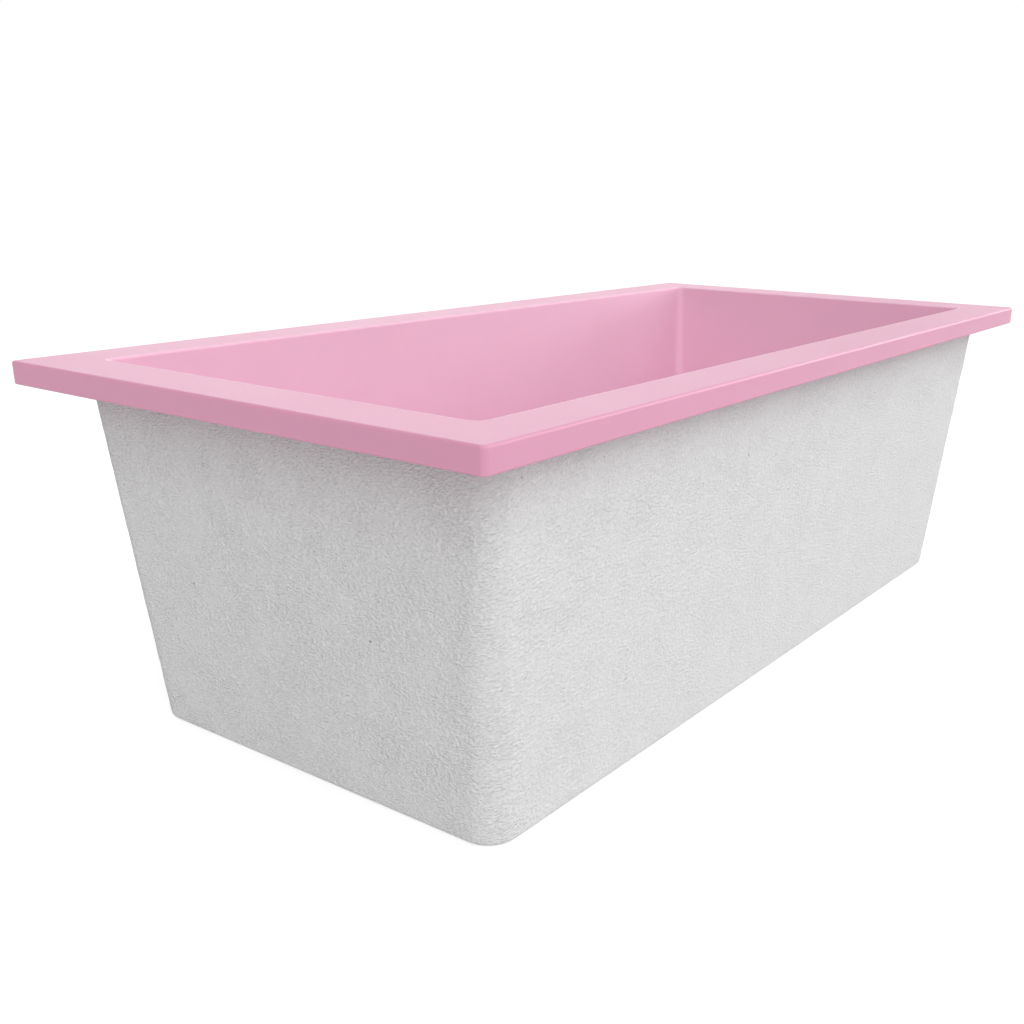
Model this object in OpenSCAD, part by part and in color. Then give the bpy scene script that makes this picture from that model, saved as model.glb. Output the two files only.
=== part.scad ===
// Soap loaf mould: a flexible flanged liner that lifts out of a stiff tapered shell.
// X runs along the length and Z is up. The origin is the centre of the shell's underside.

/* [Shell] */
// Outside length of the shell at its rim
shell_l = 206; // [200:0.5:230]
// Outside width of the shell at its rim
shell_w = 98; // [92:0.5:112]
// Outside length of the shell at its base
base_l = 196; // [180:0.5:200]
// Outside width of the shell at its base
base_w = 88; // [76:0.5:92]
// Height of the shell, from the surface it stands on to its rim
shell_h = 67.5; // [50:0.5:90]
// Wall thickness of the shell
shell_wall = 1; // [0.8:0.1:1.6]
// Floor thickness of the shell
shell_floor = 1.6; // [1:0.1:3]
// Radius of the shell's upright corners at the rim
rim_corner_r = 4.5; // [4:0.1:5.5]
// Radius of the shell's upright corners at the base
base_corner_r = 5.7; // [5.5:0.1:9]
// Rounding of the edge that runs round the underside
base_edge_r = 1; // [0.5:0.1:1.5]

/* [Liner] */
// Thickness of the liner's two end walls
liner_end_wall = 1.2; // [1:0.1:2]
// Thickness of the liner's two long walls, which a full mould pushes outwards
liner_side_wall = 3.5; // [1.5:0.1:5]
// Floor thickness of the liner
liner_floor = 2; // [1.5:0.1:3]
// Clearance between the liner and the shell
fit_gap = 0.3; // [0.2:0.05:0.5]
// Radius of the cavity's upright corners at the rim
cavity_corner_r = 2; // [1.5:0.1:3]
// Rounding between the cavity's walls and its floor
cavity_floor_r = 2.5; // [1:0.1:3]

/* [Flange] */
// How far the flange reaches past the shell at each end
overhang_end = 9.5; // [5:0.5:14]
// How far the flange reaches past the shell along each side
overhang_side = 6.5; // [5:0.5:12]
// Thickness of the flange
flange_t = 4.2; // [3:0.1:6]
// Radius of the flange's four corners, seen from above
flange_corner_r = 1; // [1:0.1:6]
// Rounding of the flange's outer top edge
flange_edge_r = 0.5; // [0.3:0.1:0.9]
// Rounding of the edge where the flange meets the cavity
opening_edge_r = 0.5; // [0.3:0.1:1]

/* [Hidden] */

liner_colour = [0.90, 0.68, 0.78];
shell_colour = [0.86, 0.86, 0.86];

corner_steps = 8;            // facets in each upright corner
edge_steps = 4;              // facets across each rounded edge
rim_edge_r = 0.2;            // both edges of the shell's rim
pocket_edge_r = 1.2;         // between the shell's inner wall and its floor
under_edge_r = 0.3;          // flange's lower outer edge
liner_foot_r = 1.8;          // liner's outer edge round its underside
cut = 1;                     // how far a cutter runs past the face it opens

total_h = shell_h + flange_t;
liner_inset = shell_wall + fit_gap;
cavity_end_inset = liner_inset + liner_end_wall;
cavity_side_inset = liner_inset + liner_side_wall;
liner_z = shell_floor + fit_gap;
cavity_z = liner_z + liner_floor;
flange_l = shell_l + 2 * overhang_end;
flange_w = shell_w + 2 * overhang_side;

// The shell's outer face at height z, which every wall of both pieces runs parallel to
function rise(z) = z / shell_h;
function face_l(z) = base_l + (shell_l - base_l) * rise(z);
function face_w(z) = base_w + (shell_w - base_w) * rise(z);
function face_r(z) = base_corner_r + (rim_corner_r - base_corner_r) * rise(z);
function cavity_r(z) = cavity_corner_r + face_r(z) - rim_corner_r;

// A level is [length, width, corner radius, height]
function shell_level(z, inset) =
    [face_l(z) - 2 * inset, face_w(z) - 2 * inset, face_r(z) - inset, z];
function cavity_level(z, inset) =
    [face_l(z) - 2 * (cavity_end_inset + inset), face_w(z) - 2 * (cavity_side_inset + inset),
     max(cavity_r(z) - inset, 0.5), z];
function flange_level(z, inset) =
    [flange_l - 2 * inset, flange_w - 2 * inset, flange_corner_r - inset, z];

// Angles that sweep a rounded edge, from the flat face (0) to the upright face (90) or back
function sweep(first, last) = [for (i = [0 : edge_steps]) first + (last - first) * i / edge_steps];

// Points of one level's rounded rectangle, anticlockwise seen from above
function outline(level) = [
    for (corner = [0 : 3], i = [0 : corner_steps])
        let (angle = 90 * (corner + i / corner_steps), r = level[2],
             side_x = (corner == 0 || corner == 3) ? 1 : -1, side_y = corner < 2 ? 1 : -1)
        [side_x * (level[0] / 2 - r) + r * cos(angle),
         side_y * (level[1] / 2 - r) + r * sin(angle),
         level[3]]
];

// Closed solid whose skin passes through the levels in order, with a flat cap at each end
module skin(levels) {
    count = 4 * (corner_steps + 1);
    polyhedron(
        points = [for (level = levels) each outline(level)],
        faces = concat(
            [[for (i = [0 : count - 1]) i]],
            [for (k = [0 : len(levels) - 2], i = [0 : count - 1])
                [k * count + i, (k + 1) * count + i,
                 (k + 1) * count + (i + 1) % count, k * count + (i + 1) % count]],
            [[for (i = [count - 1 : -1 : 0]) (len(levels) - 1) * count + i]]),
        convexity = 6);
}

// Pocket in the shell that the liner sits in, flared where it meets the rim
module pocket() {
    skin(concat(
        [for (a = sweep(0, 90))
            shell_level(shell_floor + pocket_edge_r * (1 - cos(a)),
                        shell_wall + pocket_edge_r * (1 - sin(a)))],
        [for (a = sweep(90, 0))
            shell_level(shell_h - rim_edge_r * (1 - cos(a)), shell_wall - rim_edge_r * (1 - sin(a)))],
        [shell_level(shell_h + cut, shell_wall - rim_edge_r)]));
}

// Stiff outer box: a tapered block with rounded foot and rim, less the pocket
module shell() {
    color(shell_colour)
        difference() {
            skin(concat(
                [for (a = sweep(0, 90))
                    shell_level(base_edge_r * (1 - cos(a)), base_edge_r * (1 - sin(a)))],
                [for (a = sweep(90, 0))
                    shell_level(shell_h - rim_edge_r * (1 - cos(a)), rim_edge_r * (1 - sin(a)))]));
            pocket();
        }
}

// Liner's outer wall, which stops inside the flange
module liner_wall_block() {
    skin(concat(
        [for (a = sweep(0, 90))
            shell_level(liner_z + liner_foot_r * (1 - cos(a)),
                        liner_inset + liner_foot_r * (1 - sin(a)))],
        [shell_level(shell_h + flange_t / 2, liner_inset)]));
}

// Flange as a solid plate with rounded edges, resting on the shell's rim
module flange_plate() {
    skin(concat(
        [for (a = sweep(0, 90))
            flange_level(shell_h + under_edge_r * (1 - cos(a)), under_edge_r * (1 - sin(a)))],
        [for (a = sweep(90, 0))
            flange_level(total_h - flange_edge_r * (1 - cos(a)), flange_edge_r * (1 - sin(a)))]));
}

// Space that the soap is poured into, flared where it meets the flange's top
module cavity() {
    skin(concat(
        [for (a = sweep(0, 90))
            cavity_level(cavity_z + cavity_floor_r * (1 - cos(a)), cavity_floor_r * (1 - sin(a)))],
        [for (a = sweep(90, 0))
            cavity_level(total_h - opening_edge_r * (1 - cos(a)), -opening_edge_r * (1 - sin(a)))],
        [cavity_level(total_h + cut, -opening_edge_r)]));
}

// Flexible liner, one moulding of wall, floor and flange
module liner() {
    color(liner_colour)
        difference() {
            union() {
                liner_wall_block();
                flange_plate();
            }
            cavity();
        }
}

shell();
liner();
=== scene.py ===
"""Soap loaf mould: a pink silicone liner in a white rough-cast shell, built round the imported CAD."""

import math

import bpy
from mathutils import Matrix, Vector, noise


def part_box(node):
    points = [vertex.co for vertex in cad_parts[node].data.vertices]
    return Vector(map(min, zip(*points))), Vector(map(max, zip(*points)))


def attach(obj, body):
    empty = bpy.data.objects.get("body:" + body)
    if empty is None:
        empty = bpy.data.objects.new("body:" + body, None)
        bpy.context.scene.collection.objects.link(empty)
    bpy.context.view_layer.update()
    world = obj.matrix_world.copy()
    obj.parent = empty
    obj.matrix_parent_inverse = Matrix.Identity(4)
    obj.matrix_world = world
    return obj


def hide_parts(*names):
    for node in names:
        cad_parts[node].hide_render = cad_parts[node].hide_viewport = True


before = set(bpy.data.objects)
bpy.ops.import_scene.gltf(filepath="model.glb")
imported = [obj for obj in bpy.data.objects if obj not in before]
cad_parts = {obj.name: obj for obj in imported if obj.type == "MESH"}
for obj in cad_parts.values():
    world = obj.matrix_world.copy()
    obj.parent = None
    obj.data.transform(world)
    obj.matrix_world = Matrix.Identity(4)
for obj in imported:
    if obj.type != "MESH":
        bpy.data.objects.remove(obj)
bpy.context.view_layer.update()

MM = 0.001

# ---------------------------------------------------------------- dimensions, in millimetres
shell_low, shell_high = (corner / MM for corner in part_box("shell"))
liner_low, liner_high = (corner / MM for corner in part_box("liner"))

RIM_L, RIM_W = shell_high.x - shell_low.x, shell_high.y - shell_low.y
FLANGE_L, FLANGE_W = liner_high.x - liner_low.x, liner_high.y - liner_low.y
RIM_Z, TOP_Z, FOOT_Z = shell_high.z, liner_high.z, liner_low.z

BASE_L, BASE_W = 196.0, 88.0        # the shell's outside at its base
RIM_CORNER_R, BASE_CORNER_R = 4.5, 5.7
BASE_EDGE_R = 1.0
SHELL_WALL, SHELL_FLOOR = 1.0, 1.6
RIM_EDGE_R = 0.2
POCKET_EDGE_R = 1.2                 # inside the shell, between wall and floor

LINER_INSET = 1.3                   # shell wall, then the clearance
CAVITY_END_INSET = 2.5              # those two and the liner's thin end walls
CAVITY_SIDE_INSET = 4.8             # or its thicker long walls
LINER_FLOOR = 2.0
CAVITY_Z = FOOT_Z + LINER_FLOOR
LINER_FOOT_R = 1.8
FLANGE_ROOT_R = 0.25                # where the liner's wall meets the underside of its flange
CAVITY_CORNER_R = 2.0
CAVITY_FLOOR_R = 2.5
FLANGE_CORNER_R = 1.0
FLANGE_EDGE_R = 0.5
UNDER_EDGE_R = 0.3
OPENING_EDGE_R = 0.5

SUPPORT = 0.12                      # from a rounded edge to the loop that keeps the face beside it flat
GRID = 0.75                         # spacing of the rough outer face's mesh
SHELL_CORNER_STEPS = 11             # a rough upright corner's mesh, about as fine as GRID
LINER_SPANS = (12, 48, 20)          # steps in each corner, cuts along each long and each short side


# ---------------------------------------------------------------- levels: (length, width, corner r, height)
def wall_level(z, inset):
    """The shell's outer face at height z, moved in by inset. Every wall runs parallel to it."""
    rise = z / RIM_Z
    return (BASE_L + (RIM_L - BASE_L) * rise - 2 * inset,
            BASE_W + (RIM_W - BASE_W) * rise - 2 * inset,
            BASE_CORNER_R + (RIM_CORNER_R - BASE_CORNER_R) * rise - inset, z)


def cavity_level(z, inset):
    length, width, radius, _ = wall_level(z, inset)
    return (length - 2 * CAVITY_END_INSET, width - 2 * CAVITY_SIDE_INSET,
            radius + CAVITY_CORNER_R - RIM_CORNER_R, z)


def flange_level(z, inset):
    return (FLANGE_L - 2 * inset, FLANGE_W - 2 * inset, FLANGE_CORNER_R - inset, z)


def rounded(make, z, radius, rising, inset=0.0, inward=1, steps=6):
    """Levels across the rounded edge between a flat face at height z and the wall that rises
    (rising 1) or drops (-1) from it, face first, with a support loop on each side."""
    turns = [math.radians(90 * i / steps) for i in range(steps + 1)]
    levels = [make(z, inset + inward * (radius + SUPPORT))]
    levels += [make(z + rising * radius * (1 - math.cos(a)),
                    inset + inward * radius * (1 - math.sin(a))) for a in turns]
    return levels + [make(z + rising * (radius + SUPPORT), inset)]


def evenly(make, z_from, z_to, spacing):
    """Levels up a wall, between two heights and leaving both out."""
    count = max(1, round((z_to - z_from) / spacing))
    return [make(z_from + (z_to - z_from) * i / count, 0.0) for i in range(1, count)]


# ---------------------------------------------------------------- lofted meshes
def outline(level, spans):
    """A rounded rectangle's points, anticlockwise from above, each with its outward direction."""
    length, width, radius, z = level
    corner_steps, along, across = spans
    arcs = []
    for corner in range(4):
        mid_x = (length / 2 - radius) * (1 if corner in (0, 3) else -1)
        mid_y = (width / 2 - radius) * (1 if corner in (0, 1) else -1)
        turns = [math.radians(90 * (corner + i / corner_steps)) for i in range(corner_steps + 1)]
        arcs.append([(mid_x + radius * math.cos(a), mid_y + radius * math.sin(a), z,
                      math.cos(a), math.sin(a)) for a in turns])
    points = []
    for corner in range(4):
        start, end = arcs[corner][-1], arcs[(corner + 1) % 4][0]
        cuts = along if corner % 2 == 0 else across
        points += arcs[corner]
        points += [tuple(s + (e - s) * i / cuts for s, e in zip(start, end)) for i in range(1, cuts)]
    return points


def loft(name, levels, spans, relief=None, relief_levels=0, second_slot_from=None):
    """Closed mesh whose skin passes through the levels in order and has a flat cap at each end.
    relief says how far a point of the first relief_levels levels stands proud, in millimetres.
    Faces past level second_slot_from take the second material slot."""
    rings = [outline(level, spans) for level in levels]
    count = len(rings[0])
    verts = []
    for k, ring in enumerate(rings):
        for x, y, z, way_x, way_y in ring:
            proud = relief(x, y, z) if k < relief_levels else 0.0
            verts.append(((x + proud * way_x) * MM, (y + proud * way_y) * MM, z * MM))
    faces = [list(range(count - 1, -1, -1))]
    for k in range(len(rings) - 1):
        low, high = k * count, (k + 1) * count
        faces += [(low + i, low + (i + 1) % count, high + (i + 1) % count, high + i)
                  for i in range(count)]
    faces.append([(len(rings) - 1) * count + i for i in range(count)])
    mesh = bpy.data.meshes.new(name)
    mesh.from_pydata(verts, [], faces)
    if second_slot_from is not None:
        first = 1 + second_slot_from * count
        mesh.polygons.foreach_set("material_index", [int(i >= first) for i in range(len(faces))])
    mesh.shade_smooth()
    piece = bpy.data.objects.new(name, mesh)
    bpy.context.scene.collection.objects.link(piece)
    return piece


# ---------------------------------------------------------------- the two pieces
LUMP, SWELL = 2.6, 11.0             # wavelengths of the rough face's relief
LUMP_HEIGHT, SWELL_HEIGHT = 0.07, 0.05
FADE = 1.5                          # the relief dies out over this height at the rim and the foot
LUMP_FRACTAL = (0.9, 2.0, 2)        # how fast finer lumps fade, how much finer they are, how many sizes
SWELL_SHIFT = Vector((7.0, 3.0, 5.0))  # so that the swells don't echo the lumps


def rough_relief(x, y, z):
    """How far the shell's rough-cast outer face stands proud of its true plane."""
    fade = min((z - BASE_EDGE_R) / FADE, (RIM_Z - RIM_EDGE_R - z) / FADE, 1.0)
    if fade <= 0.0:
        return 0.0
    place = Vector((x, y, z))
    lumps = noise.fractal(place / LUMP, *LUMP_FRACTAL)
    swells = noise.noise(place / SWELL + SWELL_SHIFT)
    return fade * (LUMP_HEIGHT * lumps + SWELL_HEIGHT * swells)


def make_shell():
    foot = rounded(wall_level, 0.0, BASE_EDGE_R, 1)
    brim = rounded(wall_level, RIM_Z, RIM_EDGE_R, -1, steps=3)
    lip = rounded(wall_level, RIM_Z, RIM_EDGE_R, -1, SHELL_WALL, -1, steps=3)
    pocket = rounded(wall_level, SHELL_FLOOR, POCKET_EDGE_R, 1, SHELL_WALL)
    outer = foot + evenly(wall_level, foot[-1][3], brim[-1][3], GRID) + brim[::-1]
    spans = (SHELL_CORNER_STEPS, round(BASE_L / GRID), round(BASE_W / GRID))
    return loft("outer_shell", outer + lip + pocket[::-1], spans, rough_relief, len(outer))


def make_liner():
    foot = rounded(wall_level, FOOT_Z, LINER_FOOT_R, 1, LINER_INSET)
    root = rounded(wall_level, RIM_Z, FLANGE_ROOT_R, -1, LINER_INSET, -1, steps=3)
    under = rounded(flange_level, RIM_Z, UNDER_EDGE_R, 1, steps=3)
    top = rounded(flange_level, TOP_Z, FLANGE_EDGE_R, -1, steps=8)
    opening = rounded(cavity_level, TOP_Z, OPENING_EDGE_R, -1, inward=-1, steps=8)
    floor = rounded(cavity_level, CAVITY_Z, CAVITY_FLOOR_R, 1, steps=8)
    outside = foot + root[::-1] + under + top[::-1]
    levels = outside + opening + floor[::-1]
    # the cavity's faces, from the opening down, take the second slot: the pink with painted light
    return loft("soft_liner", levels, LINER_SPANS, second_slot_from=len(outside))


# ---------------------------------------------------------------- materials
def new_material(name):
    """A new material, a function that adds a node to it and one that joins two sockets, and its
    Principled shader."""
    material = bpy.data.materials.new(name)
    material.use_nodes = True
    nodes, links = material.node_tree.nodes, material.node_tree.links

    def add(kind, **values):
        node = nodes.new("ShaderNode" + kind)
        for key, value in values.items():
            label = key.replace("_", " ")
            if hasattr(node, key):
                setattr(node, key, value)
            else:
                node.inputs[label].default_value = value
        return node

    return material, add, links.new, nodes["Principled BSDF"]


def ramp(add, join, source, low, high, to_low=0.0, to_high=1.0):
    """source's stretch from low to high, taken smoothly to the range from to_low to to_high."""
    node = add("MapRange", interpolation_type="SMOOTHSTEP")
    for label, value in (("From Min", low), ("From Max", high), ("To Min", to_low), ("To Max", to_high)):
        node.inputs[label].default_value = value
    join(source, node.inputs["Value"])
    return node.outputs["Result"]


def combine(add, join, operation, *sources):
    """A Math node over sources, each of them a socket or a number."""
    node = add("Math", operation=operation)
    for i, source in enumerate(sources):
        if isinstance(source, float):
            node.inputs[i].default_value = source
        else:
            join(source, node.inputs[i])
    return node.outputs[0]


# texture scales are in repeats a metre, depths in metres
WRINKLE_SCALE, WRINKLE_DEPTH = 1650.0, 0.00048
WRINKLES_ACROSS = (-0.30, 0.25, 1.0)  # square to the wrinkles, which climb a little towards +X and -Y
WRINKLE_STRETCH = (1.1, 1.1, 0.55)  # of the noise that makes them, twice along them and then across
PATCH_SCALE = 110.0                 # patches where the wrinkles are shallower or deeper
DEPTH_RANGE = (0.85, 1.15)          # and how deep they are there
# painted shade: the wrinkles' valleys are coloured darker and their crests lighter
VALLEY_WHITE_PAINTED_SHADE, CREST_WHITE = 0.620, 0.774
# pits are painted this dark, as shade inside them; their dent is in the bump
PIT_SCALE, PIT_PAINTED_SHADE = 240.0, 0.4
PIT_SHARE = 0.14                    # of the pit texture's cells, how many hold a pit
PIT_EDGE = (0.03, 0.09)             # a pit's floor and its rim, by distance from its middle
CREASE_SCALE = 150.0                # creases follow this texture's middle contour
CREASE_HALF_WIDTH = 0.012
CREASED_SCALE = 85.0                # and this one says where there are any
CREASED_EDGE = (0.64, 0.70)
DENT_DEPTH = 0.00006                # of pits and creases


def rough_cast():
    """White and matt, with fine wrinkles, painted darker in their valleys as shade and lighter on
    their crests, and with a few small pits, painted dark as shade inside them, and short creases."""
    material, add, join, shader = new_material("white_rough_cast")
    shader.inputs["Roughness"].default_value = 0.85
    shader.inputs["Specular IOR Level"].default_value = 0.15
    place = add("TexCoord").outputs["Object"]
    upright, across = Vector((0.0, 0.0, 1.0)), Vector(WRINKLES_ACROSS)
    grain = add("Mapping", vector_type="TEXTURE")
    grain.inputs["Rotation"].default_value = upright.rotation_difference(across).to_euler()
    grain.inputs["Scale"].default_value = WRINKLE_STRETCH
    join(place, grain.inputs["Vector"])
    wrinkles = add("TexNoise", Scale=WRINKLE_SCALE, Detail=2.0, Roughness=0.5, Distortion=0.25)
    join(grain.outputs[0], wrinkles.inputs["Vector"])
    patches = add("TexNoise", Scale=PATCH_SCALE, Detail=2.0)
    cells = add("TexVoronoi", Scale=PIT_SCALE, Randomness=1.0)
    contours = add("TexNoise", Scale=CREASE_SCALE, Detail=2.0, Distortion=1.0)
    places = add("TexNoise", Scale=CREASED_SCALE, Detail=1.0)
    for texture in (patches, cells, contours, places):
        join(place, texture.inputs["Vector"])

    chance = add("SeparateColor")
    join(cells.outputs["Color"], chance.inputs[0])
    pitted = combine(add, join, "GREATER_THAN", chance.outputs[0], 1.0 - PIT_SHARE)
    round_hollow = ramp(add, join, cells.outputs["Distance"], *PIT_EDGE, 1.0, 0.0)
    pit = combine(add, join, "MULTIPLY", round_hollow, pitted)
    off_contour = combine(add, join, "ABSOLUTE",
                          combine(add, join, "SUBTRACT", contours.outputs["Fac"], 0.5))
    creased = ramp(add, join, places.outputs["Fac"], *CREASED_EDGE)
    line = ramp(add, join, off_contour, 0.0, CREASE_HALF_WIDTH, 1.0, 0.0)
    crease = combine(add, join, "MULTIPLY", line, creased)

    strength = ramp(add, join, patches.outputs["Fac"], 0.3, 0.7, *DEPTH_RANGE)
    either_way = combine(add, join, "SUBTRACT", wrinkles.outputs["Fac"], 0.5)
    height = combine(add, join, "MULTIPLY", either_way, strength)
    rough = add("Bump", Strength=1.0, Distance=WRINKLE_DEPTH)
    join(height, rough.inputs["Height"])
    dents = add("Bump", Strength=1.0, Distance=DENT_DEPTH, invert=True)
    join(combine(add, join, "MAXIMUM", pit, crease), dents.inputs["Height"])
    join(rough.outputs["Normal"], dents.inputs["Normal"])
    join(dents.outputs["Normal"], shader.inputs["Normal"])

    # painted shade: darker white in the wrinkles' valleys, lighter on their crests
    shade = add("Mix", data_type="RGBA")
    shade.inputs[6].default_value = (VALLEY_WHITE_PAINTED_SHADE, VALLEY_WHITE_PAINTED_SHADE, VALLEY_WHITE_PAINTED_SHADE, 1.0)
    shade.inputs[7].default_value = (CREST_WHITE, CREST_WHITE, CREST_WHITE, 1.0)
    join(combine(add, join, "MULTIPLY_ADD", height, 2.0, 0.5), shade.inputs[0])
    # painted shade: the pits are coloured dark
    pit_painted_shade = add("Mix", data_type="RGBA")
    join(pit, pit_painted_shade.inputs[0])
    join(shade.outputs[2], pit_painted_shade.inputs[6])
    pit_painted_shade.inputs[7].default_value = (PIT_PAINTED_SHADE, PIT_PAINTED_SHADE, PIT_PAINTED_SHADE, 1.0)
    join(pit_painted_shade.outputs[2], shader.inputs["Base Color"])
    return material


SOLID_PINK = (0.655, 0.305, 0.433)  # the flange, solid silicone
CAVITY_PINK_PAINTED_LIGHT = (0.780, 0.468, 0.600)  # the cavity, paler than the flange: partly painted light standing in for the brighter light inside the cavity, partly its thin wall over the white shell
MOTTLE, MOTTLE_SCALE = 0.035, 45.0  # how much the tint varies each way, and in what size of patch
SATIN = (0.36, 0.46)                # the range of its roughness
SKIN_SCALE, SKIN_DEPTH = 1500.0, 0.000004


def tinted(add, join, factor, colour):
    """A colour that wanders a little lighter and darker with factor."""
    tint = add("Mix", data_type="RGBA")
    tint.inputs[6].default_value = (*(part * (1 - MOTTLE) for part in colour), 1.0)
    tint.inputs[7].default_value = (*(part * (1 + MOTTLE) for part in colour), 1.0)
    join(factor, tint.inputs[0])
    return tint.outputs[2]


def silicone(name, colour):
    """Satin, a little translucent, with the faintest mottling of its colour."""
    material, add, join, shader = new_material(name)
    for label, value in (("IOR", 1.43), ("Subsurface Weight", 0.12), ("Subsurface Scale", 0.002)):
        shader.inputs[label].default_value = value
    place = add("TexCoord").outputs["Object"]
    mottle = add("TexNoise", Scale=MOTTLE_SCALE, Detail=3.0)
    skin = add("TexNoise", Scale=SKIN_SCALE, Detail=2.0)
    for texture in (mottle, skin):
        join(place, texture.inputs["Vector"])
    join(tinted(add, join, mottle.outputs["Fac"], colour), shader.inputs["Base Color"])
    gloss = add("MapRange")
    for label, value in zip(("To Min", "To Max"), SATIN):
        gloss.inputs[label].default_value = value
    join(mottle.outputs["Fac"], gloss.inputs["Value"])
    join(gloss.outputs["Result"], shader.inputs["Roughness"])
    ripple = add("Bump", Strength=1.0, Distance=SKIN_DEPTH)
    join(skin.outputs["Fac"], ripple.inputs["Height"])
    join(ripple.outputs["Normal"], shader.inputs["Normal"])
    return material


FLOOR_GLOW = 0.24                   # the floor's own light, as on a light table
FLOOR_WHITE = 0.36                  # and how much more of it is seen than shines on the object


def pale_floor():
    """A white, evenly lit table top."""
    material, add, join, shader = new_material("pale_floor")
    shader.inputs["Base Color"].default_value = (0.5, 0.5, 0.5, 1.0)
    shader.inputs["Roughness"].default_value = 0.9
    shader.inputs["Specular IOR Level"].default_value = 0.0
    shader.inputs["Emission Color"].default_value = (1.0, 1.0, 1.0, 1.0)
    seen = add("Math", operation="MULTIPLY_ADD")
    join(add("LightPath").outputs["Is Camera Ray"], seen.inputs[0])
    seen.inputs[1].default_value = FLOOR_WHITE
    seen.inputs[2].default_value = FLOOR_GLOW
    join(seen.outputs[0], shader.inputs["Emission Strength"])
    return material


# ---------------------------------------------------------------- the pieces in place
shell = make_shell()
shell.data.materials.append(rough_cast())
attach(shell, "shell")
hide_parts("shell")

liner = make_liner()
liner.data.materials.append(silicone("pink_silicone", SOLID_PINK))
# the cavity's paler pink paints in the brighter light inside the cavity
liner.data.materials.append(silicone("pink_silicone_cavity_painted_light", CAVITY_PINK_PAINTED_LIGHT))
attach(liner, "liner")
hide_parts("liner")


# ---------------------------------------------------------------- floor, light and camera
FLOOR_HALF = 12.0                   # metres from the middle of the floor to its sides
SKY_LIGHT = 0.25
LENS, SENSOR = 40.92, 36.0          # millimetres
LENS_SHIFT = (-0.0649, 0.0722)
CAMERA_PLACE = (-0.2235, -0.1497, 0.1042)
CAMERA_TURN, CAMERA_TILT, CAMERA_ROLL = -54.47, 70.60, 0.80  # degrees, tilt from straight down


def make_floor():
    half = FLOOR_HALF
    mesh = bpy.data.meshes.new("floor")
    corners = [(-half, -half, 0.0), (half, -half, 0.0), (half, half, 0.0), (-half, half, 0.0)]
    mesh.from_pydata(corners, [], [(0, 1, 2, 3)])
    mesh.materials.append(pale_floor())
    floor = bpy.data.objects.new("floor", mesh)
    bpy.context.scene.collection.objects.link(floor)


def make_sky():
    """A white studio all round, which lights the object less than it shows."""
    world = bpy.data.worlds.new("studio")
    world.use_nodes = True
    nodes, links = world.node_tree.nodes, world.node_tree.links
    light = nodes["Background"]
    light.inputs["Strength"].default_value = SKY_LIGHT
    light.inputs["Color"].default_value = (1.0, 1.0, 1.0, 1.0)
    shown = nodes.new("ShaderNodeBackground")
    shown.inputs["Color"].default_value = (1.0, 1.0, 1.0, 1.0)
    choose = nodes.new("ShaderNodeMixShader")
    path = nodes.new("ShaderNodeLightPath")
    links.new(path.outputs["Is Camera Ray"], choose.inputs[0])
    links.new(light.outputs[0], choose.inputs[1])
    links.new(shown.outputs[0], choose.inputs[2])
    links.new(choose.outputs[0], nodes["World Output"].inputs["Surface"])
    bpy.context.scene.world = world


def make_sun(name, azimuth, elevation, strength, spread):
    """A soft lamp. Its light comes from azimuth, anticlockwise from +X, and elevation, and
    spread is the angle that it fills, all in degrees."""
    data = bpy.data.lights.new(name, "SUN")
    data.energy = strength
    data.angle = math.radians(spread)
    lamp = bpy.data.objects.new(name, data)
    turn = Matrix.Rotation(math.radians(azimuth), 3, "Z")
    rise = Matrix.Rotation(math.radians(-elevation), 3, "Y")
    lamp.rotation_euler = (turn @ rise @ Vector((1.0, 0.0, 0.0))).to_track_quat("Z", "Y").to_euler()
    bpy.context.scene.collection.objects.link(lamp)


def make_camera():
    data = bpy.data.cameras.new("camera")
    data.lens, data.sensor_width = LENS, SENSOR
    data.shift_x, data.shift_y = LENS_SHIFT
    data.clip_start, data.clip_end = 0.01, 50.0
    camera = bpy.data.objects.new("camera", data)
    turn = Matrix.Rotation(math.radians(CAMERA_TURN), 4, "Z")
    tilt = Matrix.Rotation(math.radians(CAMERA_TILT), 4, "X")
    roll = Matrix.Rotation(math.radians(CAMERA_ROLL), 4, "Z")
    camera.matrix_world = Matrix.Translation(CAMERA_PLACE) @ turn @ tilt @ roll
    bpy.context.scene.collection.objects.link(camera)
    bpy.context.scene.camera = camera


make_floor()
make_sky()
make_sun("key", azimuth=225.0, elevation=32.0, strength=1.84, spread=45.0)
make_sun("right", azimuth=315.0, elevation=32.0, strength=0.77, spread=45.0)
make_sun("glint", azimuth=336.0, elevation=10.0, strength=0.60, spread=14.0)
make_sun("behind_right", azimuth=0.0, elevation=8.0, strength=0.62, spread=45.0)
make_sun("behind_left", azimuth=45.0, elevation=8.0, strength=0.70, spread=45.0)
make_sun("above", azimuth=0.0, elevation=90.0, strength=0.98, spread=80.0)
make_camera()
bpy.context.scene.view_settings.view_transform = "Standard"
